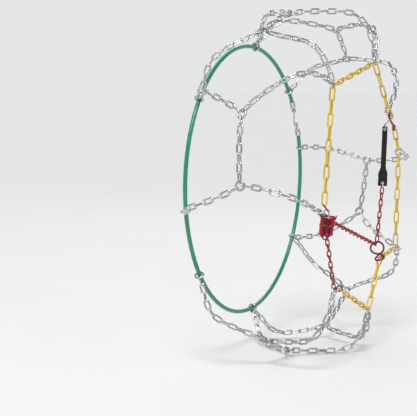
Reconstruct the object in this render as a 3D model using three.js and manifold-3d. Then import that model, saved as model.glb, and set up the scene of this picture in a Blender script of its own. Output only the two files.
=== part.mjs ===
// A tire snow chain of the diamond pattern, as it lies on its tire.
//
// Millimetres, +Z up. The origin is the centre of the wheel and Y is its axle: the outer side of the wheel, with the
// yellow side chain and the tensioner, faces -Y, and the inner side, with the cable hoop, faces +Y. Angles around the
// wheel start at the front of the tread (-X) and run up over the top.
//
// Every chain run is a plain tube along the run's real route. The pieces that fasten the chain are full shapes.
import * as THREE from 'three';
import { mergeVertices } from 'three/addons/utils/BufferGeometryUtils.js';
import Module from 'manifold-3d';

// ---- driving dimensions --------------------------------------------------------------------------------------------

const TIRE = { radius: 316, bulgeRadius: 262, bulgeHalfWidth: 107 };
const LIFT = 5; // from the rubber's surface to the middle of a chain

const TREAD_RUN_RADIUS = 4.4; // half of the space that the silver links fill
const SIDE_RUN_RADIUS = 3.7;
const TENSION_RUN_RADIUS = 2.8;

const TREAD_RING = { radius: 7.5, wire: 2 };
const SIDE_RING = { radius: 6.9, wire: 1.7 };
const GUIDE_RING = { radius: 12.7, wire: 1.9, eyeRadius: 9.4 };
const STRAP_RING = { radius: 5.5, wire: 1.3 };

const CABLE = { radius: 4, hoopRadius: 258, side: 122 };
const OUTER_SIDE = -113; // where the yellow chain lies

const RING_PLACES = [ // angle around the wheel, distance from the middle of the tread
  [3.1, -16], [25.2, -4], [62.4, 18], [79.6, 4], [115, -5], [132.5, 3],
  [176, -6], [195.6, 5], [229, -4], [248.6, 3], [281.5, 3], [299, 5],
];
const OUTER_JUNCTIONS = { // angle around the wheel, distance from the axle
  front: [50.6, 236], top: [105, 232.5], rear: [215.6, 243.5], low: [260, 246.5],
  hook: [140.8, 194.4], ring: [167, 217], tail: [307.3, 216], lock: [-9.9, 200],
};
const LOCK_LINK = [-7.3, 187.5]; // where the yellow chain comes down to the lock
const CABLE_TIES = { // angles where the inner branches reach the cable
  front: 38, top: 97, rear: 212, low: 265, hook: 139, ring: 169, tail: 322, lock: -8.5,
};

const HOOK_EYE = new THREE.Vector3(175.5, -114.5, 99);
const HOOK = { length: 34.5, crook: 5.5, wire: 2.2, eyeRadius: 4.6, direction: [-0.72, 0, 0.69] };
const END_LINK = { length: 20, halfWidth: 4.5, wire: 1.5 };

const LOCK = {
  centre: [-179, -115.3, -60], yaw: -60, roll: 7, width: 24, depth: 12, height: 34, sheet: 1.6, lip: 5.4,
};
const LOCK_PIN_RADIUS = 1.2;
const RING_CENTRE = new THREE.Vector3(90.4, -113, -131);
const STRAP = { top: [109, -118.9, 104], bottom: [101.7, -117.7, -11], width: 10, blockWidth: 18, thickness: 5 };

// ---- materials -----------------------------------------------------------------------------------------------------

const finish = (color, roughness, metalness) => new THREE.MeshStandardMaterial({ color, roughness, metalness });
const zinc = () => finish(0xd9dcdf, 0.28, 1);
const yellow = () => finish(0xe3b92a, 0.4, 0.35);
const red = () => finish(0xa31621, 0.42, 0.25);
const darkRed = () => finish(0x7d121b, 0.45, 0.25);
const rubber = () => finish(0x17171a, 0.75, 0);
const cableGreen = () => finish(0x1f9468, 0.45, 0);

// ---- the assembly --------------------------------------------------------------------------------------------------

const wasm = await Module();
wasm.setup();
const snowChain = new THREE.Group();

function add(name, geometry, material, parent = snowChain) {
  const mesh = new THREE.Mesh(geometry, material);
  mesh.name = name;
  parent.add(mesh);
  return mesh;
}

// ---- shape helpers -------------------------------------------------------------------------------------------------

const vec = (x, y, z) => new THREE.Vector3(x, y, z);
const rad = THREE.MathUtils.degToRad;

function onWheel(angle, radius, y) {
  return vec(-radius * Math.cos(rad(angle)), y, radius * Math.sin(rad(angle)));
}

function toSolid(geometry) {
  const bare = geometry.clone();
  bare.deleteAttribute('normal');
  bare.deleteAttribute('uv');
  const merged = mergeVertices(bare.index ? bare.toNonIndexed() : bare, 1e-4);
  const vertProperties = new Float32Array(merged.attributes.position.array);
  const triVerts = new Uint32Array(merged.index.array);
  return new wasm.Manifold(new wasm.Mesh({ numProp: 3, vertProperties, triVerts }));
}

function fromSolid(solid) {
  const mesh = solid.getMesh();
  const geometry = new THREE.BufferGeometry();
  geometry.setAttribute('position', new THREE.BufferAttribute(new Float32Array(mesh.vertProperties), 3));
  geometry.setIndex(new THREE.BufferAttribute(new Uint32Array(mesh.triVerts), 1));
  return geometry;
}

function joined(...geometries) {
  return fromSolid(geometries.map(toSolid).reduce((sum, next) => sum.add(next)));
}

function cut(geometry, ...tools) {
  return fromSolid(tools.map(toSolid).reduce((rest, next) => rest.subtract(next), toSolid(geometry)));
}

// A round bar of the given radius along a curve.
function bar(curve, radius, sides, steps) {
  const corners = [];
  for (let i = 0; i < sides; i++) {
    const turn = (2 * Math.PI * i) / sides;
    corners.push(new THREE.Vector2(radius * Math.cos(turn), radius * Math.sin(turn)));
  }
  const section = new THREE.Shape(corners);
  return new THREE.ExtrudeGeometry(section, { steps, bevelEnabled: false, extrudePath: curve });
}

const smooth = (points) => new THREE.CatmullRomCurve3(points, false, 'centripetal');

function straightBar(from, to, radius, sides = 8) {
  return bar(new THREE.LineCurve3(from, to), radius, sides, 1);
}

// A point on the way from one end to the other, a set distance in from the first.
function stepFrom(from, towards, distance) {
  return from.clone().addScaledVector(towards.clone().sub(from).normalize(), distance);
}

function torus(radius, wire, around = 16, sides = 6) {
  return new THREE.TorusGeometry(radius, wire, sides, around);
}

// An oval chain link in its own XY plane, long along X.
function ovalLink(length, width, wire) {
  const segments = 16;
  const bend = width / 2 - wire;
  const straight = (length - width) / 2;
  const geometry = torus(bend, wire, segments);
  geometry.rotateZ(Math.PI / segments);
  const place = geometry.attributes.position;
  for (let i = 0; i < place.count; i++) {
    place.setX(i, place.getX(i) + Math.sign(place.getX(i)) * straight);
  }
  return geometry;
}

// Turns a piece so that its own Z runs along `up` and its own X as near `side` as it can.
function aim(object, position, up, side) {
  const z = up.clone().normalize();
  const y = z.clone().cross(side).normalize();
  const x = y.clone().cross(z);
  object.quaternion.setFromRotationMatrix(new THREE.Matrix4().makeBasis(x, y, z));
  object.position.copy(position);
}

// ---- how a chain lies over the tire --------------------------------------------------------------------------------

const SHOULDER = [ // half of the tire's section, as the middle of the chain follows it: distance out, distance up
  [0, TIRE.radius + LIFT], [70, TIRE.radius + LIFT - 0.5], [84, TIRE.radius + 1.5], [95, TIRE.radius - 7],
  [102.5, TIRE.radius - 19], [108.5, TIRE.radius - 36],
];
const OUTER_SECTION = [...SHOULDER, [TIRE.bulgeHalfWidth + LIFT + 0.5, TIRE.bulgeRadius], [113.5, 245], [113.5, 180]];
const TIE_LIFT = 9; // a branch's tube stops this far outside the middle of the cable
const INNER_SECTION = [...SHOULDER, [114.5, 273], [CABLE.side, CABLE.hoopRadius + TIE_LIFT]];

// The distance along a section from the middle of the tread to each of its points.
function sectionReaches(section) {
  const reaches = [0];
  for (let i = 1; i < section.length; i++) {
    const run = Math.hypot(section[i][0] - section[i - 1][0], section[i][1] - section[i - 1][1]);
    reaches.push(reaches[i - 1] + run);
  }
  return reaches;
}

function sectionAt(section, reach) {
  const reaches = sectionReaches(section);
  let i = 1;
  while (i < section.length - 1 && reaches[i] < reach) i++;
  const t = (reach - reaches[i - 1]) / (reaches[i] - reaches[i - 1]);
  return [0, 1].map((k) => section[i - 1][k] + t * (section[i][k] - section[i - 1][k]));
}

// How far along a section the wall comes down to this distance from the axle.
function reachAtRadius(section, radius) {
  const reaches = sectionReaches(section);
  for (let i = 3; i < section.length; i++) {
    if (section[i][1] <= radius) {
      const t = (section[i - 1][1] - radius) / (section[i - 1][1] - section[i][1]);
      return reaches[i - 1] + t * (reaches[i] - reaches[i - 1]);
    }
  }
  return reaches[reaches.length - 1];
}

// The route of a branch from a tread ring to a junction. It moves evenly across the tire's section. Around the
// wheel it turns early where `bend` is under 1, as a leg of a fork does, and late where it is over 1.
function branchRoute(ring, junctionPlace, section, bend, count = 9) {
  const side = section === OUTER_SECTION ? -1 : 1;
  const [ringAngle, ringY] = ring;
  const [endAngle, endRadius] = junctionPlace;
  const start = ringY * side;
  const end = reachAtRadius(section, endRadius);
  const points = [];
  for (let i = 0; i <= count; i++) {
    const t = i / count;
    const reach = start + t * (end - start);
    const [out, up] = sectionAt(section, Math.abs(reach));
    const angle = ringAngle + t ** bend * (endAngle - ringAngle);
    points.push(onWheel(angle, up, side * Math.sign(reach) * out));
  }
  return points;
}

const RING_CLEARANCE = TREAD_RING.radius + TREAD_RING.wire + 0.5;

// Cuts a route back from its ring, so that the tube ends at the ring's edge.
function clearOfRing(points) {
  return [stepFrom(points[0], points[1], RING_CLEARANCE), ...points.slice(1)];
}

function forkedBranch(rings, bends, junctionPlace, section) {
  const [sideA, sideB] = rings.map((ring, i) => clearOfRing(branchRoute(ring, junctionPlace, section, bends[i])));
  return bar(smooth([...sideA, ...sideB.slice(0, -1).reverse()]), TREAD_RUN_RADIUS, 8, 20);
}

function singleBranch(ring, bend, junctionPlace, section, endGap) {
  const points = clearOfRing(branchRoute(ring, junctionPlace, section, bend));
  const last = points.length - 1;
  points[last] = stepFrom(points[last], points[last - 1], endGap);
  return bar(smooth(points), TREAD_RUN_RADIUS, 8, 10);
}

// ---- tread ---------------------------------------------------------------------------------------------------------

const twoDigits = (n) => String(n).padStart(2, '0');

function addTreadRings() {
  RING_PLACES.forEach(([angle, y], i) => {
    const ring = add(`tread_ring_${twoDigits(i + 1)}`, torus(TREAD_RING.radius, TREAD_RING.wire, 14), zinc());
    const centre = onWheel(angle, TIRE.radius + LIFT - 1, y);
    aim(ring, centre, onWheel(angle, 1, 0), vec(0, 1, 0));
  });
}

function addCentreRuns() {
  for (let pair = 0; pair < RING_PLACES.length / 2; pair++) {
    const [fromAngle, fromY] = RING_PLACES[2 * pair];
    const [toAngle, toY] = RING_PLACES[2 * pair + 1];
    const points = [];
    for (let i = 0; i <= 4; i++) {
      const t = i / 4;
      const y = fromY + t * (toY - fromY);
      points.push(onWheel(fromAngle + t * (toAngle - fromAngle), TIRE.radius + LIFT, y));
    }
    const trimmed = clearOfRing(clearOfRing(points).reverse());
    add(`centre_run_${pair + 1}`, bar(smooth(trimmed), TREAD_RUN_RADIUS, 8, 4), zinc());
  }
}

const FORKS = [ // the two rings that a fork comes from, and how early each of its outer legs turns
  { name: 'front', rings: [2, 3], bends: [0.78, 0.55] },
  { name: 'top', rings: [4, 5], bends: [0.7, 0.7] },
  { name: 'rear', rings: [8, 9], bends: [0.7, 0.7] },
  { name: 'low', rings: [10, 11], bends: [0.7, 0.7] },
];
const SINGLES = [ // a single branch's ring, and how far short of the junction its tube stops
  { name: 'hook', ring: 6, bend: 1.6, endGap: 15 },
  { name: 'ring', ring: 7, bend: 2.4, endGap: 10 },
  { name: 'tail', ring: 12, bend: 1, endGap: 29 },
  { name: 'lock', ring: 1, bend: 1.9, endGap: 8 },
];
const INNER_BEND = 0.8;
const FORK_LIFT = 8; // a fork's point lies this far outside the yellow chain that it hangs on

const ringPlace = (number) => RING_PLACES[number - 1];
const tiePlace = (name) => [CABLE_TIES[name], CABLE.hoopRadius + TIE_LIFT];

function addBranches() {
  for (const { name, rings, bends } of FORKS) {
    const [angle, radius] = OUTER_JUNCTIONS[name];
    const places = rings.map(ringPlace);
    const outer = forkedBranch(places, bends, [angle, radius + FORK_LIFT], OUTER_SECTION);
    const inner = forkedBranch(places, [INNER_BEND, INNER_BEND], tiePlace(name), INNER_SECTION);
    add(`outer_branch_${name}`, outer, zinc());
    add(`inner_branch_${name}`, inner, zinc());
  }
  for (const { name, ring, bend, endGap } of SINGLES) {
    const outer = singleBranch(ringPlace(ring), bend, OUTER_JUNCTIONS[name], OUTER_SECTION, endGap);
    const inner = singleBranch(ringPlace(ring), INNER_BEND, tiePlace(name), INNER_SECTION, 0);
    add(`outer_branch_${name}`, outer, zinc());
    add(`inner_branch_${name}`, inner, zinc());
  }
}

// ---- outer side chain, closing hook and side ring ------------------------------------------------------------------

const junction = (name) => onWheel(...OUTER_JUNCTIONS[name], OUTER_SIDE);
const hookAxis = vec(...HOOK.direction).normalize();
const hookBar = HOOK_EYE.clone().addScaledVector(hookAxis, HOOK.length); // the yellow bar that the hook holds
const ringNormal = vec(-0.866, -0.448, -0.21).normalize();
const ringDown = vec(0.3, -0.14, -0.94).projectOnPlane(ringNormal).normalize();
const ringEye = RING_CENTRE.clone().addScaledVector(ringDown, GUIDE_RING.radius + GUIDE_RING.eyeRadius);

function sideRun(from, to, startGap, endGap) {
  return straightBar(stepFrom(from, to, startGap), stepFrom(to, from, endGap), SIDE_RUN_RADIUS);
}

// The last link of a run: two side bars, square to the wheel, and the end bar that the closing hook catches.
function endLink(barCentre, towards) {
  const along = towards.clone().sub(barCentre).normalize();
  const { length, halfWidth, wire } = END_LINK;
  const corner = (reach, side) => barCentre.clone().addScaledVector(along, reach).add(vec(0, side * halfWidth, 0));
  const route = [corner(length, -1), corner(2, -1), corner(0, -0.6), corner(0, 0.6), corner(2, 1), corner(length, 1)];
  return bar(smooth(route), wire, 8, 14);
}

function addSideChain() {
  const gap = 12;
  add('side_chain_1', sideRun(onWheel(...LOCK_LINK, OUTER_SIDE), junction('front'), 4, gap), yellow());
  add('side_chain_2', sideRun(junction('front'), junction('top'), gap, gap), yellow());
  const run = sideRun(junction('top'), hookBar, gap, END_LINK.length - 3);
  const yoke = straightBar(
    stepFrom(hookBar, junction('top'), END_LINK.length - 1).add(vec(0, -END_LINK.halfWidth - 1, 0)),
    stepFrom(hookBar, junction('top'), END_LINK.length - 1).add(vec(0, END_LINK.halfWidth + 1, 0)), 2);
  add('side_chain_3', joined(run, yoke, endLink(hookBar, junction('top'))), yellow());
  add('side_chain_4', sideRun(HOOK_EYE, junction('ring'), 8, 10), yellow());
  add('side_chain_5', sideRun(junction('ring'), junction('rear'), 10, gap), yellow());
  const overEye = smooth([
    stepFrom(junction('rear'), ringEye, gap), stepFrom(ringEye, junction('rear'), 40),
    stepFrom(ringEye, junction('rear'), 9), ringEye, stepFrom(ringEye, junction('low'), 9),
    stepFrom(ringEye, junction('low'), 40), stepFrom(junction('low'), ringEye, gap)]);
  add('side_chain_6', bar(overEye, SIDE_RUN_RADIUS, 8, 14), yellow());
  add('side_chain_7', sideRun(junction('low'), junction('tail'), gap, 32), yellow());
}

// A hook with a closed eye at its foot and a crook open to +X, in its own XZ plane. The bar that it catches is at
// [0, 0, length], so a turn about the eye lets the bar out through the crook's mouth.
function openHook({ length, crook, wire, eyeRadius }) {
  const route = [
    vec(0, 0, eyeRadius - 0.4), vec(-crook * 0.25, 0, length * 0.4), vec(-crook * 0.85, 0, length * 0.75)];
  for (let angle = 175; angle >= 45; angle -= 26) {
    route.push(vec(crook * Math.cos(rad(angle)), 0, length + crook * Math.sin(rad(angle))));
  }
  const eye = torus(eyeRadius, wire, 14);
  eye.rotateX(Math.PI / 2);
  return joined(bar(smooth(route), wire, 8, 16), eye);
}

function addClosingHook() {
  const hook = add('closing_hook', openHook(HOOK), red());
  aim(hook, HOOK_EYE, hookAxis, vec(0.69, 0, 0.72));
}

function addSideRing() {
  const ring = add('side_ring', torus(SIDE_RING.radius, SIDE_RING.wire), zinc());
  aim(ring, junction('ring'), ringNormal, vec(0, 0, 1));
}

// ---- tensioner -----------------------------------------------------------------------------------------------------

const lockGroup = new THREE.Group();
lockGroup.position.set(...LOCK.centre);
lockGroup.rotation.set(0, rad(LOCK.roll), rad(LOCK.yaw), 'ZYX');
lockGroup.updateMatrixWorld();
snowChain.add(lockGroup);
const inLock = (x, y, z) => lockGroup.localToWorld(vec(x, y, z));

const LOCK_TOP = 19;
const LOCK_BOTTOM = LOCK_TOP - LOCK.height;
const PIN_Y = -1;
const SHACKLE_X = -3.5;
const SHACKLE_Z = 15.5;
const PAWL_Z = 1;
const WINDOW = { width: 7, low: 3.5, high: 13 }; // in the right wall, where the tension chain comes in

// A round bar across the lock at one of its two pins.
function crossPin(radius, fromX, toX, z, sides = 12) {
  return straightBar(vec(fromX, PIN_Y, z), vec(toX, PIN_Y, z), radius, sides);
}

// A channel folded from sheet, with a lip in front of each wall, a tongue below and a window in its right wall.
function lockBody() {
  const half = LOCK.width / 2;
  const deep = LOCK.depth / 2;
  const t = LOCK.sheet;
  const lip = half - LOCK.lip;
  const fold = new THREE.Shape([
    [-half, -deep], [-lip, -deep], [-lip, -deep + t], [-half + t, -deep + t], [-half + t, deep - t],
    [half - t, deep - t], [half - t, -deep + t], [lip, -deep + t], [lip, -deep], [half, -deep], [half, deep],
    [-half, deep],
  ].map(([x, y]) => new THREE.Vector2(x, y)));
  const channel = new THREE.ExtrudeGeometry(fold, { depth: LOCK.height, bevelEnabled: false });
  channel.translate(0, 0, LOCK_BOTTOM);

  const outline = new THREE.Shape([
    [-half, LOCK_BOTTOM + 1], [-4.5, LOCK_BOTTOM - 8], [-2, LOCK_BOTTOM - 10], [2, LOCK_BOTTOM - 10],
    [4.5, LOCK_BOTTOM - 8], [half, LOCK_BOTTOM + 1],
  ].map(([x, z]) => new THREE.Vector2(x, z)));
  const hole = new THREE.Path();
  hole.absarc(0, LOCK_BOTTOM - 5.5, 2.4, 0, 2 * Math.PI, true);
  outline.holes.push(hole);
  const tongue = new THREE.ExtrudeGeometry(outline, { depth: t, bevelEnabled: false, curveSegments: 6 });
  tongue.rotateX(Math.PI / 2);
  tongue.translate(0, deep, 0);

  const window = new THREE.BoxGeometry(6, WINDOW.width, WINDOW.high - WINDOW.low);
  window.translate(half, 0, (WINDOW.high + WINDOW.low) / 2);
  const shackleHole = crossPin(LOCK_PIN_RADIUS + 0.3, -half - 2, half + 2, SHACKLE_Z);
  const pawlHole = crossPin(LOCK_PIN_RADIUS + 0.3, -half - 2, half + 2, PAWL_Z);
  return cut(joined(channel, tongue), window, shackleHole, pawlHole);
}

// A bow whose two feet turn on the pin across the top of the lock.
function shackle() {
  const reach = 4.2;
  const wire = 1.4;
  const rise = 12;
  const at = (x, z) => vec(SHACKLE_X + x, PIN_Y, SHACKLE_Z + z);
  const route = [at(-reach, 1.5), at(-reach, rise - 3)];
  for (let angle = 150; angle >= 30; angle -= 40) {
    route.push(at(reach * Math.cos(rad(angle)), rise - 2 + reach * Math.sin(rad(angle)) * 0.8));
  }
  route.push(at(reach, rise - 3), at(reach, 1.5));
  const feet = [-reach, reach].map((x) => crossPin(2.9, SHACKLE_X + x - 1.6, SHACKLE_X + x + 1.6, SHACKLE_Z));
  const bow = joined(bar(smooth(route), wire, 8, 14), ...feet);
  return cut(bow, crossPin(LOCK_PIN_RADIUS + 0.3, -14, 14, SHACKLE_Z));
}

// The toothed lever that lets the chain run one way, turning on its own pin.
function pawl() {
  const outline = new THREE.Shape([
    [-3.2, -1.5], [-4.6, -8], [-3.2, -10.5], [-1.4, -8.5], [1.8, -3], [3.1, 0.5], [1.5, 3], [-1.2, 3.1], [-3.1, 1.4],
  ].map(([y, z]) => new THREE.Vector2(y, z)));
  const lever = new THREE.ExtrudeGeometry(outline, { depth: 8, bevelEnabled: false });
  // The outline's x is the lock's Y and its y is the lock's Z.
  lever.rotateZ(Math.PI / 2);
  lever.rotateY(Math.PI / 2);
  lever.translate(-4, PIN_Y, PAWL_Z);
  return cut(lever, crossPin(LOCK_PIN_RADIUS + 0.3, -14, 14, PAWL_Z));
}

function pawlSpring() {
  const profile = [[1.7, 0], [2.6, 0], [2.6, 3.6], [1.7, 3.6], [1.7, 0]].map(([r, z]) => new THREE.Vector2(r, z));
  const coil = new THREE.LatheGeometry(profile, 12);
  coil.rotateZ(-Math.PI / 2);
  coil.translate(4.8, PIN_Y, PAWL_Z);
  return coil;
}

function addLock() {
  const half = LOCK.width / 2;
  add('lock_body', lockBody(), red(), lockGroup);
  add('lock_shackle', shackle(), zinc(), lockGroup);
  const shaft = crossPin(LOCK_PIN_RADIUS, -half - 1, half + 1.5, SHACKLE_Z);
  const head = crossPin(2.2, -half - 2.2, -half - 0.4, SHACKLE_Z);
  add('shackle_pin', joined(shaft, head), zinc(), lockGroup);
  add('lock_pawl', pawl(), darkRed(), lockGroup);
  add('pawl_pin', crossPin(LOCK_PIN_RADIUS, -half - 0.8, half + 0.8, PAWL_Z), zinc(), lockGroup);
  add('pawl_spring', pawlSpring(), zinc(), lockGroup);
}

function addTensionChain() {
  const tail = junction('tail').add(vec(0, -2, 4));
  const lower = straightBar(inLock(0, -4.8, LOCK_BOTTOM + 2), tail, TENSION_RUN_RADIUS);
  add('tension_chain_lower', lower, red());
  const bend = RING_CENTRE.clone().addScaledVector(ringDown, -3.8).addScaledVector(ringNormal, -5);
  const start = inLock(LOCK.width / 2 + 3.6, 1, (WINDOW.high + WINDOW.low) / 2);
  const end = vec(...STRAP.bottom).add(vec(0, 0, -10));
  const route = smooth([
    start, stepFrom(start, bend, 60), stepFrom(bend, start, 60), stepFrom(bend, start, 4), stepFrom(bend, end, 4),
    stepFrom(bend, end, 50), end]);
  add('tension_chain_upper', bar(route, TENSION_RUN_RADIUS, 8, 24), red());
}

// A ring of bent wire whose lower end is a small eye for the yellow chain.
function addGuideRing() {
  const loop = torus(GUIDE_RING.radius, GUIDE_RING.wire, 20);
  const eye = torus(GUIDE_RING.eyeRadius, GUIDE_RING.wire, 16);
  eye.translate(-(GUIDE_RING.radius + GUIDE_RING.eyeRadius), 0, 0);
  const ring = add('guide_ring', joined(loop, eye), darkRed());
  aim(ring, RING_CENTRE, ringNormal, ringDown.clone().negate());
}

// ---- rubber strap --------------------------------------------------------------------------------------------------

const STRAP_HOLE_INSET = 5.5;
const strapTop = vec(...STRAP.top);
const strapBottom = vec(...STRAP.bottom);

// A flat strap with a wider moulded block at its foot and a hole at each end, drawn in its own XZ plane.
function strapShape(length) {
  const half = STRAP.width / 2;
  const block = STRAP.blockWidth / 2;
  const outline = new THREE.Shape([
    [-block + 2, 0], [block - 2, 0], [block, 2], [block, 22], [half + 1, 30], [half, 40], [half, length - 2],
    [half - 2, length], [-half + 2, length], [-half, length - 2], [-half, 40], [-half - 1, 30], [-block, 22],
    [-block, 2],
  ].map(([x, z]) => new THREE.Vector2(x, z)));
  for (const z of [STRAP_HOLE_INSET, length - STRAP_HOLE_INSET]) {
    const hole = new THREE.Path();
    hole.absarc(0, z, 3.2, 0, 2 * Math.PI, true);
    outline.holes.push(hole);
  }
  const strap = new THREE.ExtrudeGeometry(outline, {
    depth: STRAP.thickness, bevelEnabled: false, curveSegments: 6 });
  strap.rotateX(Math.PI / 2);
  strap.translate(0, STRAP.thickness / 2, 0);
  return strap;
}

function addStrap() {
  const along = strapTop.clone().sub(strapBottom);
  const across = vec(Math.cos(rad(LOCK.yaw)), Math.sin(rad(LOCK.yaw)), 0);
  const facing = vec(Math.sin(rad(LOCK.yaw)), -Math.cos(rad(LOCK.yaw)), 0);
  const strap = add('rubber_strap', strapShape(along.length()), rubber());
  aim(strap, strapBottom, along, across);

  const inset = 1.2; // the wire rings' centres lie this far inside the strap's ends
  const ring = add('strap_ring', torus(STRAP_RING.radius, STRAP_RING.wire), zinc());
  aim(ring, stepFrom(strapBottom, strapTop, inset), across, facing);

  const eyeCentre = stepFrom(strapTop, strapBottom, inset);
  const eye = new THREE.Mesh(torus(STRAP_RING.radius, STRAP_RING.wire));
  aim(eye, eyeCentre, across, facing);
  const foot = stepFrom(eyeCentre, strapBottom, -STRAP_RING.radius);
  const catchPoint = vec(hookBar.x, eyeCentre.y, hookBar.z);
  const reach = catchPoint.clone().sub(foot);
  const shank = new THREE.Mesh(strapHookShank(reach.length()));
  aim(shank, foot, reach, vec(-reach.z, 0, reach.x));
  add('strap_hook', joined(placed(shank), placed(eye)), zinc());
}

// A mesh's geometry, moved to where the mesh is.
function placed(mesh) {
  mesh.updateMatrix();
  return mesh.geometry.applyMatrix4(mesh.matrix);
}

function strapHookShank(length) {
  const crook = 4.2;
  const route = [vec(0, 0, 0), vec(-1.5, 0, length * 0.5)];
  for (let angle = 195; angle >= 45; angle -= 30) {
    route.push(vec(crook * Math.cos(rad(angle)), 0, length + crook * Math.sin(rad(angle))));
  }
  return bar(smooth(route), 1.2, 8, 16);
}

// ---- where the tension chain, the yellow chain and the lowest silver branch meet -----------------------------------

function addTailPieces() {
  const tail = junction('tail');
  const branch = branchRoute(ringPlace(12), OUTER_JUNCTIONS.tail, OUTER_SECTION, 1);
  const link = add('tail_link', ovalLink(24, 12, 1.7), zinc());
  aim(link, stepFrom(tail, branch[7], 15.5), vec(-0.3, -1, 0), branch[7].clone().sub(tail));
  const ring = add('tail_ring', torus(4.6, 1.4), darkRed());
  aim(ring, stepFrom(tail, junction('low'), 23), vec(-0.9, -0.4, 0), vec(0, 0, 1));
}

// ---- inner cable ---------------------------------------------------------------------------------------------------

const CABLE_GAP = { from: 145, to: 162.5 }; // angles of the two ends of the cable
const FERRULE = { radius: 5.6, length: 15 };
const CABLE_EYE_RADIUS = 5.2;
const CABLE_HOOK = { crook: 4.2, wire: 1.6, eyeRadius: 3.8 };

// The plastic coated cable, with a steel ferrule pressed on each of its ends.
function addInnerCable() {
  const steps = 40;
  const sweep = 360 - (CABLE_GAP.to - CABLE_GAP.from);
  const points = [];
  for (let i = 0; i <= steps; i++) {
    points.push(onWheel(CABLE_GAP.to + (sweep * i) / steps, CABLE.hoopRadius, CABLE.side));
  }
  const eyeEnd = points[0];
  const hookEnd = points[steps];
  const eyeFerrule = straightBar(stepFrom(eyeEnd, hookEnd, -1), stepFrom(eyeEnd, hookEnd, FERRULE.length),
    FERRULE.radius, 12);
  const hookFerrule = straightBar(stepFrom(hookEnd, eyeEnd, -1), stepFrom(hookEnd, eyeEnd, FERRULE.length),
    FERRULE.radius, 12);
  const cable = bar(smooth(points), CABLE.radius, 8, steps);
  add('inner_cable', joined(cable, eyeFerrule, hookFerrule), cableGreen());

  const eye = add('cable_eye', torus(CABLE_EYE_RADIUS, CABLE_HOOK.wire, 14), zinc());
  const eyeReach = FERRULE.length + CABLE_EYE_RADIUS + CABLE_HOOK.wire + 0.4;
  aim(eye, stepFrom(eyeEnd, hookEnd, eyeReach), vec(0, 1, 0), vec(1, 0, 0));

  const pivotReach = FERRULE.length + CABLE_HOOK.eyeRadius + CABLE_HOOK.wire + 0.4;
  const length = eyeEnd.distanceTo(hookEnd) - pivotReach - eyeReach - CABLE_EYE_RADIUS;
  const hook = add('cable_hook', openHook({ length, ...CABLE_HOOK }), zinc());
  aim(hook, stepFrom(hookEnd, eyeEnd, pivotReach), eyeEnd.clone().sub(hookEnd), vec(0, -1, 0));
}

addTreadRings();
addCentreRuns();
addBranches();
addSideChain();
addClosingHook();
addSideRing();
addLock();
addTensionChain();
addGuideRing();
addStrap();
addTailPieces();
addInnerCable();

export default snowChain;
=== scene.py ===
# The finished look of a tire snow chain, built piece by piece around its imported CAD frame.
#
# Tables and shape functions are in millimetres, and a mesh is scaled to metres when it becomes a piece. The
# origin is the wheel's centre and Y its axle. The outer side, with the yellow side chain and the tensioner,
# faces -Y. Angles around the wheel start at the front of the tread (-X) and run up over the top.
import random
from collections import namedtuple
from math import atan2, copysign, cos, degrees, dist, exp, pi, radians, sin, sqrt
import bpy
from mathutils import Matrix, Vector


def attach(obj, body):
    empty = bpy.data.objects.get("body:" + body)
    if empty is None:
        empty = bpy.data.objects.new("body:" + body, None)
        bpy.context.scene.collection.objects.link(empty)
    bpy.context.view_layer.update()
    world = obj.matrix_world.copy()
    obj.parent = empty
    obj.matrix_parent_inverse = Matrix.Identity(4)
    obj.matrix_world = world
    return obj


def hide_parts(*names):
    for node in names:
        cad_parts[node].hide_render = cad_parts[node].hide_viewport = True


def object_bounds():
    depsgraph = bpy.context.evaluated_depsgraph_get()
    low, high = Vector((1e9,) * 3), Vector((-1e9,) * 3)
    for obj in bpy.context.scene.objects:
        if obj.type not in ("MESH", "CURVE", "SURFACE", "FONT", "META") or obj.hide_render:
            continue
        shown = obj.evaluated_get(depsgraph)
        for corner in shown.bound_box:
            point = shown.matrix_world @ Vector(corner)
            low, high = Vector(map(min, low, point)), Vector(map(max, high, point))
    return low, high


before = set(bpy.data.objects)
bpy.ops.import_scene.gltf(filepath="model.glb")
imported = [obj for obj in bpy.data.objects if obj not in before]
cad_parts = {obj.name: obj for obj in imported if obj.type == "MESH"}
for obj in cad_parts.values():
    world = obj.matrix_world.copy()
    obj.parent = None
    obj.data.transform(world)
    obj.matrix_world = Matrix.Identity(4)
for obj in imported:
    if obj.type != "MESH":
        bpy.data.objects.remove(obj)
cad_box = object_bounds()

from types import SimpleNamespace as Sizes

import bmesh
import bpy
from mathutils import Matrix, Quaternion, Vector

MM = 0.001
X_AXIS = Vector((1, 0, 0))
Y_AXIS = Vector((0, 1, 0))
rng = random.Random(11)

# ---- driving dimensions

TIRE_RADIUS = 316
LIFT = 5  # from the rubber's surface to the middle of a chain

# One kind of link: the distance between two links, the outer width and the thickness of the wire. `leans` are
# the angles that the links take by turns, and `twist` is how far one end of a link is turned to the other.
Gauge = namedtuple("Gauge", "pitch width wire leans twist", defaults=[(0, 90), 0])
TREAD_GAUGE = Gauge(pitch=16.4, width=11.4, wire=3.2)
SIDE_GAUGE = Gauge(pitch=23.6, width=11.2, wire=3.0)
TENSION_GAUGE = Gauge(pitch=11.6, width=8.6, wire=2.4, leans=(45, -45), twist=34)

TREAD_RING = Sizes(radius=7.5, wire=4)
SIDE_RING = Sizes(radius=6.9, wire=3.4)
TAIL_RING = Sizes(radius=4.6, wire=2.8)
STRAP_RING = Sizes(radius=5.5, wire=2.6)
TIE_RING = Sizes(radius=7.5, wire=3.8)
GUIDE_RING = Sizes(radius=12.7, wire=3.6, eye_reach=22.1)

CABLE = Sizes(radius=4, hoop_radius=258, side=122)
OUTER_SIDE = -113  # where the yellow chain lies

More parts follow.
